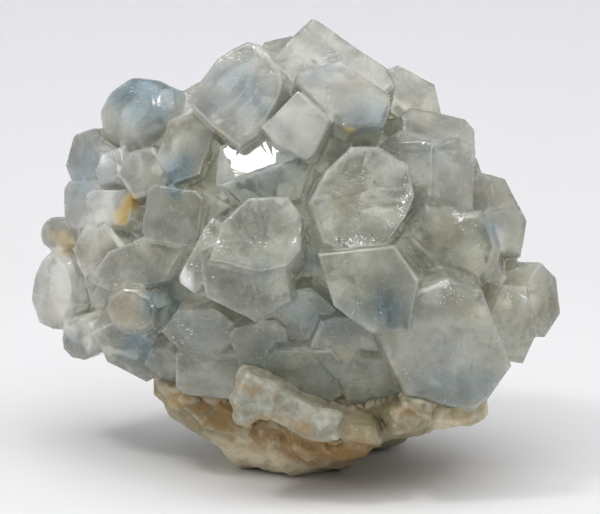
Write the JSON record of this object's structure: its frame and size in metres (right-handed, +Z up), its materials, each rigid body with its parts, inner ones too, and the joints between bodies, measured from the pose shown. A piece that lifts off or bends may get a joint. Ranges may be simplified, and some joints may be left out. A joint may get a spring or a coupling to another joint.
{
  "type": "euclase crystal specimen",
  "caption": "Hand specimen of pale blue-grey euclase: blocky see-through crystals grown together in a rounded cluster on a small cream, rust-stained feldspar matrix with a flat underside.",
  "frame": {"origin": "on the surface it stands on, under the middle of the specimen's bounding box", "axes": "+Z up, +X to the right along the specimen's length, -Y towards the front with the largest crystal faces"},
  "size_m": [0.0304, 0.0218, 0.0253],
  "materials": {
    "euclase": "satin",
    "feldspar": "matte"
  },
  "bodies": {
    "root": {"euclase_crystals": "euclase", "matrix": "feldspar"}
  },
  "joints": []
}
